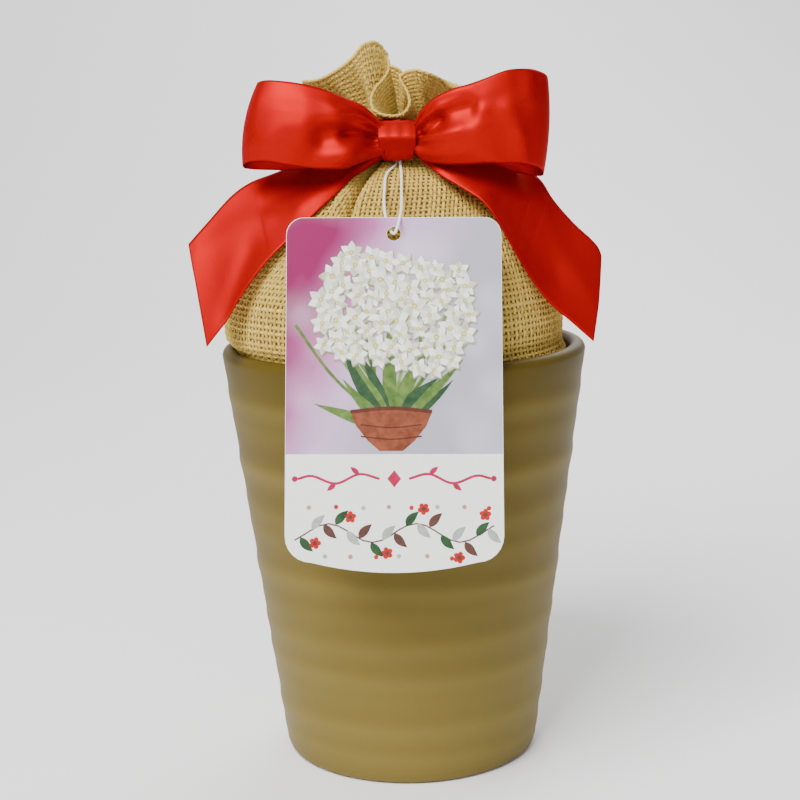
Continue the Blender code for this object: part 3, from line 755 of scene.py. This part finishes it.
# Creases: where each starts and ends, as shares of the ribbon's length and of its width from the upper
# edge, and its height (minus is a valley) and half width in millimetres
LOOP_LEFT_CREASES = ((0.12, 0.06, 0.20, 0.28, 0.8, 3.2), (0.20, 0.28, 0.28, 0.50, 0.9, 4.2),
                     (0.28, 0.50, 0.30, 0.78, 0.45, 4.6), (0.04, 0.54, 0.15, 0.48, -3, 3),
                     (0.15, 0.48, 0.23, 0.58, -3, 4.6), (0.23, 0.58, 0.26, 0.82, -1.4, 5.5),
                     (0.15, 0.74, 0.15, 0.82, 1, 3.6), (0.04, 0.72, 0.12, 0.68, 1, 3),
                     (0.46, 0.26, 0.45, 0.78, 0.3, 2.6), (0.41, 0.14, 0.41, 0.50, -0.5, 6),
                     (0.24, 0.20, 0.29, 0.24, 0.5, 4), (0.35, 0.54, 0.41, 0.76, 0.4, 4))
LOOP_RIGHT_CREASES = ((0.03, 0.20, 0.12, 0.18, 0.7, 3.2), (0.12, 0.18, 0.21, 0.08, 0.7, 4.2),
                      (0.03, 0.40, 0.12, 0.34, -3, 2.6), (0.12, 0.34, 0.22, 0.30, -2.8, 4.2),
                      (0.24, 0.10, 0.26, 0.36, 0.3, 2.4), (0.26, 0.36, 0.24, 0.62, 0.35, 2.6),
                      (0.04, 0.60, 0.18, 0.58, 1, 4), (0.43, 0.06, 0.42, 0.30, 0.7, 3.4),
                      (0.42, 0.30, 0.34, 0.40, 0.45, 3.2), (0.35, 0.44, 0.38, 0.70, 0.5, 3),
                      (0.38, 0.70, 0.40, 0.96, 0.7, 2.8), (0.38, 0.18, 0.32, 0.26, -0.4, 4.5),
                      (0.31, 0.54, 0.33, 0.92, -0.6, 5), (0.22, 0.76, 0.29, 0.98, 0.4, 3.4))
TAIL_LEFT_CREASES = ((0.96, 0.16, 0.59, 0.50, 0.5, 6), (0.70, 0.74, 0.86, 0.96, -0.8, 6),
                     (0.18, 0.92, 0.41, 0.72, 0.8, 4.5), (0.27, 0.62, 0.55, 0.38, -0.9, 5))
TAIL_RIGHT_CREASES = ((0.12, 1.00, 0.32, 0.90, 0.8, 4.5), (0.36, 0.76, 0.63, 0.18, 0.5, 4),
                      (0.44, 0.72, 0.77, 0.68, -0.7, 6), (0.67, 0.26, 0.95, 0.58, 0.5, 6))


def crease_heights(creases, along, across, width_at):
    """Soft ridges and valleys along straight lines on the ribbon."""
    height = 0
    for start, start_down, end, end_down, tall, half in creases:
        first = np.array([start * along[-1, 0], (start_down - 0.5) * width_at(start)])
        last = np.array([end * along[-1, 0], (end_down - 0.5) * width_at(end)])
        way = last - first
        share = ((along - first[0]) * way[0] + (across - first[1]) * way[1]) / max(way @ way, 1e-9)
        share = np.clip(share, 0, 1)
        away = np.hypot(along - first[0] - share * way[0], across - first[1] - share * way[1])
        height = height + tall * MM * np.exp(-(away / (half * MM)) ** 2)
    return height


def gather(run, down, slack, waves=4.5, share=0.045):
    """Pleats that the knot gathers the ribbon's width into, fading out along it."""
    wave = np.sin(TURN * (waves * down + 0.6 * np.sin(3 * down)) + 0.8)
    return share * slack * wave * np.exp(-run / 0.09) * smooth_step(-0.02, 0.07, run)


def make_ribbon(name, edges, creases, cup, side, material, replaced, is_loop):
    """Stretch one length of ribbon between its edges, cup it and crease it."""
    columns, rows = 132, 32
    upper = curve_points(np.array(edges["upper"]) * MM, columns)
    lower = curve_points(np.array(edges["lower"]) * MM, columns)
    down = np.linspace(0, 1, rows)[None]
    grid = upper[:, None] * (1 - down[:, :, None]) + lower[:, None] * down[:, :, None]
    normals = np.cross(np.gradient(grid, axis=0), np.gradient(grid, axis=1)) * side
    normals /= np.maximum(np.linalg.norm(normals, axis=2, keepdims=True), 1e-9)
    run = np.linspace(0, 1, columns)[:, None]
    width = np.linalg.norm(upper - lower, axis=1)[:, None]
    lengths = path_length(upper), path_length(lower)
    slack = np.sqrt(np.maximum(RIBBON_WIDTH ** 2 - width ** 2, 0))
    height = cup * slack * (1 - (2 * down - 1) ** 2) * smooth_step(0.02, 0.2, run)
    if is_loop:
        middle = np.abs(grid[:, :, 0]).mean(axis=1).argmax() / columns
        height = height * smooth_step(1, 0.85, run) * (1 - 0.15 * np.exp(-((run - middle) / 0.09) ** 2))
        back = gather(1 - run, down, slack, 3.5, 0.09) + 0.05 * slack * np.sin(TURN * 3 * down + 1)
        height = height + np.where(run > middle, back * smooth_step(middle, middle + 0.12, run), 0)
    height = height + gather(run, down, slack)
    along = run * np.mean(lengths) + 0 * down
    height = height + crease_heights(creases, along, (down - 0.5) * width,
                                     lambda share: float(np.interp(share, run[:, 0], width[:, 0])))
    grid = grid + normals * height[:, :, None]
    mesh = grid_mesh(name, np.swapaxes(grid, 0, 1), flip=side < 0)
    add_values(mesh, "selvage", np.repeat(np.exp(-np.minimum(down, 1 - down)[0] / 0.018), columns))
    cloth = mesh.uv_layers.new(name="cloth")
    for loop in mesh.loops:
        row, column = divmod(loop.vertex_index, columns)
        cloth.data[loop.index].uv = (column / columns * max(lengths), row / rows * RIBBON_WIDTH)
    piece = add_piece(name, mesh, material, replaced)
    thicken(piece, RIBBON_THICKNESS)


def make_bow(material):
    """Make both loops, both tails, the knot and the ribbon's turn round the neck."""
    make_ribbon("ribbon_loop_left", LOOP_LEFT, LOOP_LEFT_CREASES, 0.1, 1, material,
                ["bow_loop_left"], True)
    make_ribbon("ribbon_loop_right", LOOP_RIGHT, LOOP_RIGHT_CREASES, 0.1, -1, material,
                ["bow_loop_right"], True)
    make_ribbon("ribbon_tail_left", TAIL_LEFT, TAIL_LEFT_CREASES, 0.06, 1, material,
                ["bow_tail_left"], False)
    make_ribbon("ribbon_tail_right", TAIL_RIGHT, TAIL_RIGHT_CREASES, 0.06, -1, material,
                ["bow_tail_right"], False)
    make_knot(material)
    make_neck_band(material)


# Section of the knot's wrap from its back round its top and its front, as y and z in millimetres
KNOT_SECTION = ((-21.8, 233), (-21.7, 242.6), (-22.8, 244.6), (-25, 245.4), (-27.4, 244.6), (-29.8, 242.2),
                (-31.3, 240.2), (-31.6, 239.2), (-30.6, 237.6), (-28.8, 235), (-27.2, 232.4), (-25.6, 231),
                (-23.4, 230.9))
KNOT_HALF_WIDTH = 6.9 * MM
KNOT_SHIFT = -0.9 * MM
KNOT_THICKNESS = 0.5 * MM


def make_knot(material):
    """Wrap the folded ribbon round the middle of the bow, creased across its front."""
    section = curve_points(np.array(KNOT_SECTION) * MM, 72, closed=True)
    centre = section.mean(axis=0)
    across = np.linspace(-1, 1, 25)
    grid = np.zeros((len(section), len(across), 3))
    for column, share in enumerate(across):
        swell = 1 - 0.05 * share ** 2 + 0.012 * math.cos(3.2 * math.pi * share)
        low = smooth_step(237 * MM, 230.5 * MM, section[:, 1])
        high = smooth_step(243 * MM, 246 * MM, section[:, 1])
        narrow = 1 - 0.2 * low - 0.06 * high
        grid[:, column, 0] = share * KNOT_HALF_WIDTH * narrow + KNOT_SHIFT
        grid[:, column, 1:] = centre + (section - centre) * swell
    mesh = grid_mesh("knot_wrap", np.swapaxes(grid, 0, 1))
    shell = bmesh.new()
    shell.from_mesh(mesh)
    shell.verts.ensure_lookup_table()
    count = len(section)
    for column in range(len(across) - 1):
        first = column * count
        shell.faces.new([shell.verts[first + count - 1], shell.verts[first],
                         shell.verts[first + count], shell.verts[first + 2 * count - 1]])
    bmesh.ops.recalc_face_normals(shell, faces=shell.faces)
    shell.to_mesh(mesh)
    shell.free()
    mesh.shade_smooth()
    edge = np.exp(-(1 - np.abs(across)) / 0.06)
    add_values(mesh, "selvage", np.repeat(edge, count))
    cloth = mesh.uv_layers.new(name="cloth")
    for loop in mesh.loops:
        column, row = divmod(loop.vertex_index, count)
        cloth.data[loop.index].uv = (row * 0.7 * MM, column * 0.55 * MM)
    piece = add_piece("knot_wrap", mesh, material, ["bow_knot"])
    thicken(piece, KNOT_THICKNESS, -1)


def make_neck_band(material):
    """Lay the gathered ribbon round the neck and forward to the back of the knot."""
    bottom, top = 232 * MM, 245.5 * MM
    path = [(-5, -19), (0, -19), (5, -19), (12, -11), (15.9, -2), (15, 7), (9, 13.3), (0, 16),
            (-9, 13.3), (-15, 7), (-15.9, -2), (-12, -11)]
    ring = curve_points(np.array(path) * MM, 160, closed=True)
    rows = 22
    grid = np.zeros((rows, len(ring), 3))
    outward_way = ring / np.linalg.norm(ring, axis=1, keepdims=True)
    turn = np.linspace(0, TURN, len(ring), endpoint=False)
    for row in range(rows):
        share = row / (rows - 1)
        pleat = 0.55 * MM * np.sin(7 * math.pi * share + 0.5 * np.sin(2 * turn + 1.3))
        flare = 0.4 * MM * (2 * share - 1) ** 2
        grid[row, :, :2] = ring + outward_way * (pleat + flare)[:, None]
        grid[row, :, 2] = bottom + (top - bottom) * share + 0.4 * MM * np.sin(2 * turn + 3 * share)
    mesh = grid_mesh("neck_ribbon", grid, around=True)
    share = np.linspace(0, 1, rows)
    add_values(mesh, "selvage", np.repeat(np.exp(-np.minimum(share, 1 - share) / 0.03), len(ring)))
    length = path_length(ring)
    cloth = mesh.uv_layers.new(name="cloth")
    for loop in mesh.loops:
        row, column = divmod(loop.vertex_index, len(ring))
        cloth.data[loop.index].uv = (column / len(ring) * length, row / rows * NECK_RIBBON_WIDTH)
    piece = add_piece("neck_ribbon", mesh, material, ["neck_band"])
    thicken(piece, RIBBON_THICKNESS)


# String of the hang tag: a closed loop round the neck band and through the hole, in millimetres
STRING_RADIUS = 0.5 * MM
STRING_ROUTE = ((-0.4, -18.6, 245.6), (0, -20.3, 243.9), (0.2, -20.3, 238), (0.1, -20.3, 232.6),
                (0, -21.6, 229.9), (0.2, -24, 228.4), (0.4, -29, 226.4), (0.3, -38, 221.4), (0.2, -46, 216.9),
                (-0.2, -52, 213.9), (-1.2, -57.6, 210.2), (-2.3, -57.6, 207.5), (-3.2, -55.4, 207),
                (-4.2, -52.9, 208.5), (-5.7, -50.4, 213.2), (-6, -43, 218.2), (-5.8, -38, 221),
                (-5.4, -31, 224.8),
                (-4.3, -26, 227), (-2.4, -22.6, 228.6), (-1.4, -20, 229.9), (-1.2, -17.4, 232.2),
                (-1, -16.9, 238), (-0.7, -16.9, 244.1))


def make_string(material):
    """Sweep the thin round string along its loop."""
    points = curve_points(np.array(STRING_ROUTE) * MM, 150, closed=True)
    curve = bpy.data.curves.new("string_loop", "CURVE")
    curve.dimensions = "3D"
    curve.bevel_depth = STRING_RADIUS
    curve.bevel_resolution = 4
    spline = curve.splines.new("POLY")
    spline.points.add(len(points) - 1)
    for knot, point in zip(spline.points, points):
        knot.co = (*point, 1)
    spline.use_cyclic_u = True
    carrier = bpy.data.objects.new("string_loop", curve)
    bpy.context.scene.collection.objects.link(carrier)
    mesh = settled_mesh(carrier)
    mesh.materials.clear()
    mesh.shade_smooth()
    add_piece("string_loop", mesh, material, ["tag_string"])


# Hang tag, as the CAD card has it
TAG_WIDTH = 74.7 * MM
TAG_THICKNESS = 0.6 * MM
TAG_TOP_CORNER = 6 * MM
TAG_HOLE_RADIUS = 2.5 * MM
TAG_HOLE_DROP = 5.8 * MM
TAG_LEAN = math.radians(17)
TAG_TWIST = math.radians(1.1)
TAG_TOP_HEIGHT = 212.2 * MM
TAG_SHIFT = -2.7 * MM
TAG_REST_RADIUS = 70.6 * MM
TAG_REST_HEIGHT = 157 * MM
PICTURE_FOOT = -82.6 * MM
STRIP_TOP = -99.5 * MM
INK_LAYER = 0.015 * MM


def tag_frame():
    """Place of the card's upright outline in the world."""
    back = -TAG_REST_RADIUS + (TAG_TOP_HEIGHT - TAG_REST_HEIGHT) * math.tan(TAG_LEAN)
    place = Matrix.Translation((TAG_SHIFT, back, TAG_TOP_HEIGHT))
    return place @ Matrix.Rotation(-TAG_LEAN, 4, "X") @ Matrix.Rotation(TAG_TWIST, 4, "Y")


class Print:
    """Flat printed shapes that lie in layers on the front of the card."""

    def __init__(self):
        self.inks = {}
        self.materials = []
        self.vertices = []
        self.faces = []
        self.slots = []
        self.edge = 0.3 * MM

    def ink(self, name, material):
        self.inks[name] = len(self.materials)
        self.materials.append(material)

    def shape(self, ink, outline, layer, holes=()):
        """Add one filled outline in card coordinates, in metres."""
        loops = [[Vector((x, y, 0)) for x, y in loop] for loop in (outline, *holes)]
        points = [point for loop in loops for point in loop]
        first = len(self.vertices)
        depth = -TAG_THICKNESS - INK_LAYER * layer
        self.vertices += [(point.x, depth, point.y) for point in points]
        for triangle in tessellate_polygon(loops):
            self.faces.append([first + corner for corner in triangle])
            self.slots.append(self.inks[ink])

    def build(self, name):
        mesh = bpy.data.meshes.new(name)
        place = tag_frame()
        mesh.from_pydata([place @ Vector(point) for point in self.vertices], [], self.faces)
        for material in self.materials:
            mesh.materials.append(material)
        mesh.polygons.foreach_set("material_index", self.slots)
        chart = mesh.uv_layers.new(name="print")
        for loop in mesh.loops:
            x, depth, y = self.vertices[loop.vertex_index]
            chart.data[loop.index].uv = (x / TAG_WIDTH + 0.5, -y / TAG_WIDTH)
        front = (place.to_3x3() @ Vector((0, -1, 0))).normalized()
        mesh.update()
        for face in mesh.polygons:
            if face.normal.dot(front) < 0:
                face.flip()
        mesh.update()
        return mesh


def disc(x, y, radius, sides=20):
    return [(x + radius * math.cos(TURN * step / sides), y + radius * math.sin(TURN * step / sides))
            for step in range(sides)]


def leaf(x, y, angle, length, width, bend=0.0, sides=9):
    """Pointed leaf that starts at a point and runs off at an angle, curving as it goes."""
    left, right = [], []
    for step in range(sides + 1):
        share = step / sides
        heading = angle + bend * share
        middle_x = x + length * share * math.cos(angle + bend * share / 2)
        middle_y = y + length * share * math.sin(angle + bend * share / 2)
        half = width / 2 * math.sin(math.pi * share ** 0.8)
        left.append((middle_x - half * math.sin(heading), middle_y + half * math.cos(heading)))
        right.append((middle_x + half * math.sin(heading), middle_y - half * math.cos(heading)))
    return left + right[-2:0:-1]


def stem(points, width):
    """Thin line of even width along a smooth path."""
    path = curve_points(points, 24)
    way = np.gradient(path, axis=0)
    way /= np.linalg.norm(way, axis=1, keepdims=True)
    side = np.stack([-way[:, 1], way[:, 0]], axis=1) * width / 2
    return [tuple(point) for point in path + side] + [tuple(point) for point in (path - side)[::-1]]


def blossom(sheet, x, y, size, turn, layer, petals=6):
    """Open white flower seen from the front, on its own soft shadow, with a yellow middle."""
    paper = ("petal_white", "petal_cream", "petal_pale")
    for number in range(petals):
        angle = turn + TURN * number / petals
        shadow = leaf(x + 0.03 * size, y - 0.05 * size, angle, 0.56 * size, 0.36 * size, 0, 7)
        sheet.shape("petal_shade", shadow, layer + 0.03 * (number % 2))
        sheet.shape(paper[number % 3], leaf(x, y, angle, 0.52 * size, 0.33 * size, 0, 7),
                    layer + 0.07 + 0.03 * (number % 3))
    sheet.shape("heart_green", disc(x, y, 0.1 * size, 12), layer + 0.16)
    sheet.shape("heart_yellow", disc(x, y, 0.065 * size, 12), layer + 0.19)


def card_outline(foot):
    """Outline of the card from its top down to a level, with its rounded top corners."""
    half = TAG_WIDTH / 2 - 0.15 * MM
    corner = TAG_TOP_CORNER
    outline = []
    for centre, start in ((half - corner, 0), (-half + corner, 90)):
        for step in range(9):
            angle = math.radians(start + 11.25 * step)
            outline.append((centre + corner * math.cos(angle),
                            -corner - 0.15 * MM + corner * math.sin(angle)))
    return [*outline, (-half, foot), (half, foot)]


def print_picture(sheet, chance):
    """Upper picture: a bowl of open white flowers, leaning to the right, on a blurred plum ground."""
    hole = disc(0, -TAG_HOLE_DROP, TAG_HOLE_RADIUS + 0.1 * MM, 24)
    sheet.shape("backdrop", card_outline(PICTURE_FOOT), 1, [hole])
    foot = Vector((-2, -76)) * MM
    for number in range(11):
        lean = math.radians(58 + 7.2 * number)
        reach = (44 + 7 * math.sin(2.1 * number)) * MM
        tip = foot + Vector((math.cos(lean), math.sin(lean))) * reach
        middle = foot.lerp(tip, 0.5) + Vector((3.5 * math.sin(number), 0)) * MM
        start = foot + Vector((0.8 * (number - 5), 0)) * MM
        stalk = stem([tuple(start), tuple(middle), tuple(tip)], 1.1 * MM)
        sheet.shape("stalk_green" if number % 2 else "leaf_green", stalk, 2)
    for number in range(12):
        lean = math.radians(20 + 12.8 * number)
        sheet.shape("leaf_green" if number % 3 else "leaf_dark",
                    leaf(foot.x + (number - 5.5) * MM, foot.y, lean, (34 + 6 * math.sin(1.7 * number)) * MM,
                         4.2 * MM, 0.5 * math.cos(number)), 3 + 0.2 * number)
    places = []
    for attempt in range(2500):
        angle, far = chance.uniform(0, TURN), math.sqrt(chance.uniform(0, 1))
        x, y = 27 * far * math.cos(angle), -33 + 21 * far * math.sin(angle) + 4 * math.sin(x_wave(angle))
        clear_of_hole = math.hypot(x, y + 5.8) > 9.5
        if clear_of_hole and all(math.hypot(x - a, y - b) > 4.3 for a, b in places):
            places.append((x, y))
    for number, (x, y) in enumerate(sorted(places, key=lambda place: -place[1])):
        size = chance.uniform(6.5, 9.5) * MM
        blossom(sheet, x * MM, y * MM, size, chance.uniform(0, TURN), 8 + 0.22 * number)
    bowl = [(-15, -68), (-13, -73), (-9, -78), (-5, -81.5), (3, -81.5), (7, -78), (11, -73), (13, -68),
            (-1, -67)]
    sheet.shape("clay", [(x * MM, y * MM) for x, y in bowl], 8)
    rim = [(-15 * MM, -68 * MM), (-1 * MM, -66.8 * MM), (13 * MM, -68 * MM)]
    sheet.shape("clay_dark", stem(rim, 1.3 * MM), 9)
    for shift in (-72.5, -76.5):
        line = [(-11.5 * MM, shift * MM), (-1 * MM, (shift - 1) * MM), (9.5 * MM, shift * MM)]
        sheet.shape("clay_dark", stem(line, 0.5 * MM), 9)


def x_wave(angle):
    """Unevenness of the posy's outline."""
    return 3 * angle + 0.7


def print_band(sheet):
    """Middle band: a plum scroll line with a small diamond."""
    middle = (PICTURE_FOOT + STRIP_TOP) / 2
    for side in (-1, 1):
        scroll = ((5, 0), (12, 1.6), (20, -1.6), (28, 1.0), (33, 0))
        points = [(side * x * MM, middle + y * MM) for x, y in scroll]
        sheet.shape("plum", stem(points, 0.9 * MM), 2)
        sheet.shape("plum", disc(side * 34 * MM, middle, 1.0 * MM), 2)
        for x, way in ((12, 1), (20, -1)):
            angle = way * math.radians(90 - side * 50)
            sheet.shape("plum", leaf(side * x * MM, middle + way * 1.6 * MM, angle, 4 * MM, 1.8 * MM), 3)
    size = 3 * MM
    diamond = [(0, middle + size), (-size * 0.8, middle), (0, middle - size), (size * 0.8, middle)]
    sheet.shape("plum", diamond, 2)


def print_strip(sheet, chance):
    """Lower strip: a waving garland of leaves and round red flowers, with dots beside it."""
    centre = -109.5 * MM
    wave = [(x * MM, centre + 3.2 * MM * math.sin(x * 0.21)) for x in np.linspace(-34, 34, 18)]
    sheet.shape("brown", stem(wave, 0.5 * MM), 2)
    for number, x in enumerate(np.linspace(-32, 32, 17)):
        y = centre + 3.2 * MM * math.sin(x * 0.21)
        way = 1 if number % 2 else -1
        ink = ("leaf_dark", "leaf_grey", "brown")[number % 3]
        sheet.shape(ink, leaf(x * MM, y, math.radians(way * 62), 6.6 * MM, 2.9 * MM, -way * 0.5), 3)
    for number, x in enumerate((-27, -15, -2.5, 10, 22, 31)):
        y = centre + 3.2 * MM * math.sin(x * 0.21) + (5.4 if number % 2 else -5.2) * MM
        for petal in range(5):
            angle = TURN * petal / 5 + 0.3 * number
            sheet.shape("red", disc(x * MM + 1.25 * MM * math.cos(angle), y + 1.25 * MM * math.sin(angle),
                                    0.85 * MM, 12), 3)
        sheet.shape("brown", disc(x * MM, y, 0.7 * MM, 12), 4)
    for number in range(16):
        x = -33 + 4.4 * number + chance.uniform(-0.8, 0.8)
        y = centre + (8.6 if number % 2 else -8.2) * MM + chance.uniform(-0.5, 0.5) * MM
        if number % 2 == 0 and abs(x) > 27:
            continue
        sheet.shape(("red", "tan", "leaf_grey")[number % 3], disc(x * MM, y, 0.8 * MM, 12), 2)


def make_tag(card_material):
    """Dress the card and lay its print on it."""
    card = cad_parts["hang_tag"]
    chance = np.random.default_rng(SEED)
    for entry in card.material_slots:
        entry.material = card_material
    sheet = Print()
    sheet.ink("backdrop", backdrop_ink_finish())
    inks = {
        "petal_white": ((0.80, 0.81, 0.76), (0.88, 0.88, 0.84)),
        "petal_cream": ((0.40, 0.40, 0.28), (0.66, 0.66, 0.54)),
        "petal_pale": ((0.56, 0.58, 0.48), (0.80, 0.80, 0.74)),
        "petal_shade": ((0.16, 0.17, 0.09), (0.40, 0.40, 0.28)),
        "heart_green": ((0.22, 0.26, 0.06), (0.36, 0.38, 0.10)),
        "heart_yellow": ((0.70, 0.55, 0.10), (0.80, 0.66, 0.20)),
        "stalk_green": ((0.10, 0.17, 0.03), (0.20, 0.29, 0.07)),
        "leaf_green": ((0.045, 0.10, 0.015), (0.13, 0.21, 0.045)),
        "leaf_dark": ((0.012, 0.04, 0.014), (0.03, 0.08, 0.03)),
        "leaf_grey": ((0.28, 0.30, 0.28), (0.38, 0.40, 0.37)),
        "clay": ((0.13, 0.028, 0.01), (0.24, 0.06, 0.025)),
        "clay_dark": ((0.06, 0.012, 0.006), (0.10, 0.02, 0.01)),
        "plum": ((0.32, 0.004, 0.04), (0.40, 0.008, 0.06)),
        "brown": ((0.06, 0.025, 0.018), (0.10, 0.04, 0.03)),
        "red": ((0.36, 0.008, 0.006), (0.46, 0.015, 0.01)),
        "tan": ((0.36, 0.20, 0.09), (0.46, 0.28, 0.14)),
    }
    for name, (color, shade) in inks.items():
        sheet.ink(name, ink_finish(name + "_ink", color, shade))
    print_picture(sheet, chance)
    print_band(sheet)
    print_strip(sheet, chance)
    add_piece("tag_print", sheet.build("tag_print"), None)


def dress(nodes, material):
    """Give CAD nodes that stay a finished material."""
    for name in nodes:
        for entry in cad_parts[name].material_slots:
            entry.material = material


def make_stage():
    """Pale seamless floor that curves up behind the object."""
    finish = Finish("paper_backdrop", roughness=0.9)
    finish.set("Base Color", (0.92, 0.92, 0.92))
    profile = [(-2.0, 0.0), (0.9, 0.0)]
    for step in range(1, 9):
        angle = math.radians(90 * step / 8)
        profile.append((0.9 + 0.5 * math.sin(angle), 0.5 - 0.5 * math.cos(angle)))
    profile.append((1.4, 2.6))
    grid = np.array([[(x, y, z - 0.2 * MM) for x in (-2.5, 2.5)] for y, z in profile])
    mesh = grid_mesh("floor", grid)
    floor = bpy.data.objects.new("floor", mesh)
    bpy.context.scene.collection.objects.link(floor)
    mesh.materials.append(finish.material)


def add_light(name, place, aim, size, power, color=(1, 1, 1)):
    """Soft square light that faces a point."""
    lamp = bpy.data.lights.new(name, "AREA")
    lamp.shape = "SQUARE"
    lamp.size = size
    lamp.energy = power
    lamp.color = color
    item = bpy.data.objects.new(name, lamp)
    bpy.context.scene.collection.objects.link(item)
    item.location = place
    item.rotation_euler = (Vector(aim) - Vector(place)).to_track_quat("-Z", "Y").to_euler()


def make_lights():
    """Key from the upper front left, weak fill from the right, and a pale surround."""
    aim = (0, 0, 0.15)
    add_light("key", (-0.6, -1.0, 1.35), aim, 0.95, 56)
    add_light("fill", (0.4, -1.5, 0.7), aim, 0.9, 4)
    add_light("back", (0.3, 1.0, 1.0), aim, 0.9, 14)
    world = bpy.data.worlds.new("surround")
    world.use_nodes = True
    surround = world.node_tree.nodes["Background"]
    surround.inputs["Color"].default_value = (1, 1, 1, 1)
    surround.inputs["Strength"].default_value = 0.3
    bpy.context.scene.world = world


def make_camera():
    """Camera at the photograph's place, with its slight roll."""
    lens = bpy.data.cameras.new("camera")
    lens.lens = CAMERA_LENS
    lens.sensor_width = 36
    camera = bpy.data.objects.new("camera", lens)
    bpy.context.scene.collection.objects.link(camera)
    turn = Matrix.Rotation(math.pi / 2 - CAMERA_PITCH, 4, "X") @ Matrix.Rotation(-CAMERA_ROLL, 4, "Z")
    camera.matrix_world = Matrix.Translation(CAMERA_PLACE) @ turn
    bpy.context.scene.camera = camera


def main():
    """Make every piece, then the studio."""
    make_camera()
    make_string(string_finish())
    make_pot(glaze_finish())
    make_sack(painted_shade_sackcloth_finish(), jute_finish())
    make_bow(satin_finish())
    make_tag(card_finish())
    dress(["growing_medium"], peat_finish())
    dress(["bulb_1", "bulb_2", "bulb_3"], bulb_finish())
    make_stage()
    make_lights()


main()
